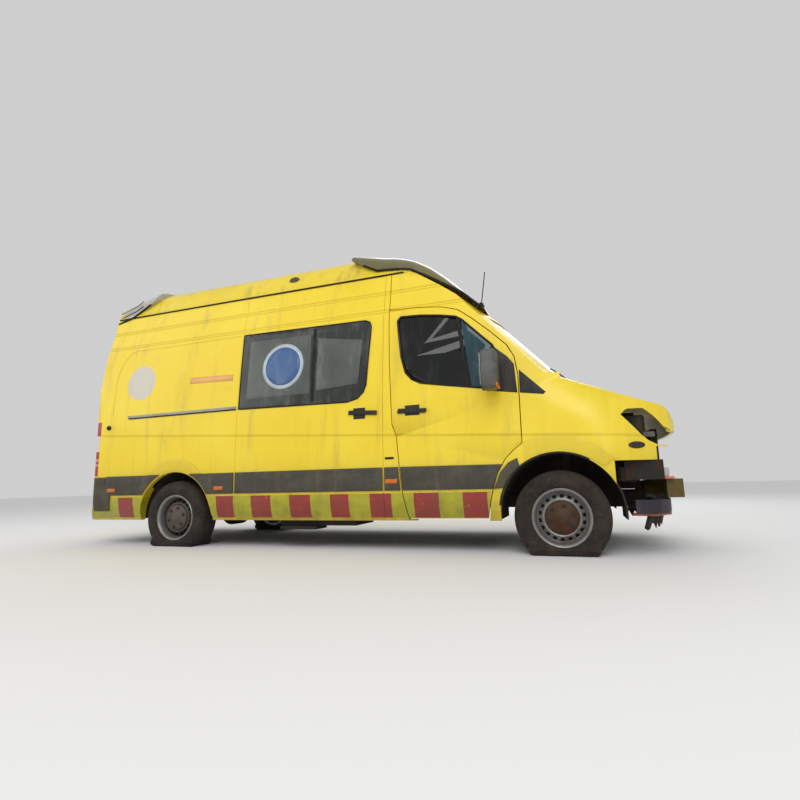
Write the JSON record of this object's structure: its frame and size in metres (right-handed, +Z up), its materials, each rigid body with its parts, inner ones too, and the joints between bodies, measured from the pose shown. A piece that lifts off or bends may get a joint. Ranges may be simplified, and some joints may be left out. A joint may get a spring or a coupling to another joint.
{
  "type": "ambulance van",
  "caption": "High-roof ambulance van with hinged cab doors, rear doors and bonnet, steered front wheels and flat tyres, its front bumper and lamps gone.",
  "frame": {"origin": "on the ground, at the centre of the overall box in plan", "axes": "+X forward, +Y to the left, +Z up"},
  "size_m": [5.7738, 2.46, 2.83],
  "materials": {
    "yellow_paint": "satin",
    "black_plastic": "matte",
    "grey_plastic": "matte",
    "clear_glass": "gloss",
    "beacon_glass": "gloss",
    "lamp_plastic": "gloss",
    "chassis_steel": "matte",
    "cast_iron": "matte",
    "rim_steel": "worn",
    "tyre_rubber": "matte",
    "seat_fabric": "matte",
    "floor_vinyl": "satin",
    "beam_paint": "matte",
    "blue_plastic": "matte"
  },
  "bodies": {
    "van_body": {"bulkhead": "floor_vinyl", "bumper_beam": "beam_paint", "cab_frame": "yellow_paint", "cab_seats": "seat_fabric", "chassis_frame": "chassis_steel", "dashboard": "black_plastic", "engine_block": "cast_iron", "floor_pan": "floor_vinyl", "front_beacon_bar": "beacon_glass", "front_lower_panel": "blue_plastic", "leaf_springs": "chassis_steel", "left_front_wing": "yellow_paint", "left_side_panel": "yellow_paint", "load_space_glass": "clear_glass", "radiator_panel": "chassis_steel", "rear_axle": "cast_iron", "rear_beacon_bar": "beacon_glass", "rear_bumper": "grey_plastic", "right_front_wing": "yellow_paint", "right_side_panel": "yellow_paint", "roof_fairing": "yellow_paint", "roof_panel": "yellow_paint", "sliding_door": "yellow_paint", "tail_lamps": "lamp_plastic", "underfloor_tanks": "chassis_steel", "wheel_arch_liners": "black_plastic", "windscreen": "clear_glass"},
    "front_right_door": {"front_door_right": "yellow_paint", "front_door_right_glass": "clear_glass", "mirror_right": "black_plastic"},
    "front_left_door": {"front_door_left": "yellow_paint", "front_door_left_glass": "clear_glass", "mirror_left": "black_plastic"},
    "rear_right_door": {"rear_door_right": "yellow_paint", "rear_door_right_glass": "clear_glass"},
    "rear_left_door": {"rear_door_left": "yellow_paint", "rear_door_left_glass": "clear_glass"},
    "bonnet_lid": {"bonnet": "yellow_paint"},
    "right_steering_knuckle": {"right_knuckle": "cast_iron"},
    "left_steering_knuckle": {"left_knuckle": "cast_iron"},
    "steering_wheel_body": {"steering_wheel": "black_plastic"},
    "left_front_wheel": {"left_front_tyre": "tyre_rubber", "left_front_rim": "rim_steel"},
    "left_rear_wheel": {"left_rear_tyre": "tyre_rubber", "left_rear_rim": "rim_steel"},
    "right_front_wheel": {"right_front_tyre": "tyre_rubber", "right_front_rim": "rim_steel"},
    "right_rear_wheel": {"right_rear_tyre": "tyre_rubber", "right_rear_rim": "rim_steel"}
  },
  "joints": [
    {"name": "right_door_swing", "type": "hinge", "parent": "van_body", "child": "front_right_door", "pos_m": [1.735, -0.997, 0.9], "axis": [0, 0, 1], "range_deg": [0, 70]},
    {"name": "left_door_swing", "type": "hinge", "parent": "van_body", "child": "front_left_door", "pos_m": [1.735, 0.997, 0.9], "axis": [0, 0, -1], "range_deg": [0, 70]},
    {"name": "rear_right_door_swing", "type": "hinge", "parent": "van_body", "child": "rear_right_door", "pos_m": [-2.82, -0.866, 1.4], "axis": [0, 0, 1], "range_deg": [0, 180]},
    {"name": "rear_left_door_swing", "type": "hinge", "parent": "van_body", "child": "rear_left_door", "pos_m": [-2.82, 0.866, 1.4], "axis": [0, 0, -1], "range_deg": [0, 180]},
    {"name": "bonnet_lift", "type": "hinge", "parent": "van_body", "child": "bonnet_lid", "pos_m": [2.195, 0, 1.388], "axis": [0, -1, 0], "range_deg": [0, 60]},
    {"name": "left_steer", "type": "hinge", "parent": "van_body", "child": "left_steering_knuckle", "pos_m": [1.99, 0.77, 0.275], "axis": [0, 0, 1], "range_deg": [-35, 35]},
    {"name": "right_steer", "type": "hinge", "parent": "van_body", "child": "right_steering_knuckle", "pos_m": [1.99, -0.77, 0.275], "axis": [0, 0, 1], "range_deg": [-35, 35]},
    {"name": "steering_wheel_turn", "type": "hinge", "parent": "van_body", "child": "steering_wheel_body", "pos_m": [1.39, 0.44, 1.235], "axis": [-0.8829, 0, 0.4695], "range_deg": [-530, 530]},
    {"name": "left_front_roll", "type": "hinge", "parent": "left_steering_knuckle", "child": "left_front_wheel", "pos_m": [1.99, 0.855, 0.275], "axis": [0, 1, 0], "continuous": true},
    {"name": "right_front_roll", "type": "hinge", "parent": "right_steering_knuckle", "child": "right_front_wheel", "pos_m": [1.99, -0.855, 0.275], "axis": [0, 1, 0], "continuous": true},
    {"name": "left_rear_roll", "type": "hinge", "parent": "van_body", "child": "left_rear_wheel", "pos_m": [-1.675, 0.855, 0.275], "axis": [0, 1, 0], "continuous": true},
    {"name": "right_rear_roll", "type": "hinge", "parent": "van_body", "child": "right_rear_wheel", "pos_m": [-1.675, -0.855, 0.275], "axis": [0, 1, 0], "continuous": true}
  ],
  "couplings": [
    {"joint": "right_steer", "follows": "left_steer", "ratio": 1},
    {"joint": "steering_wheel_turn", "follows": "left_steer", "ratio": 15}
  ]
}
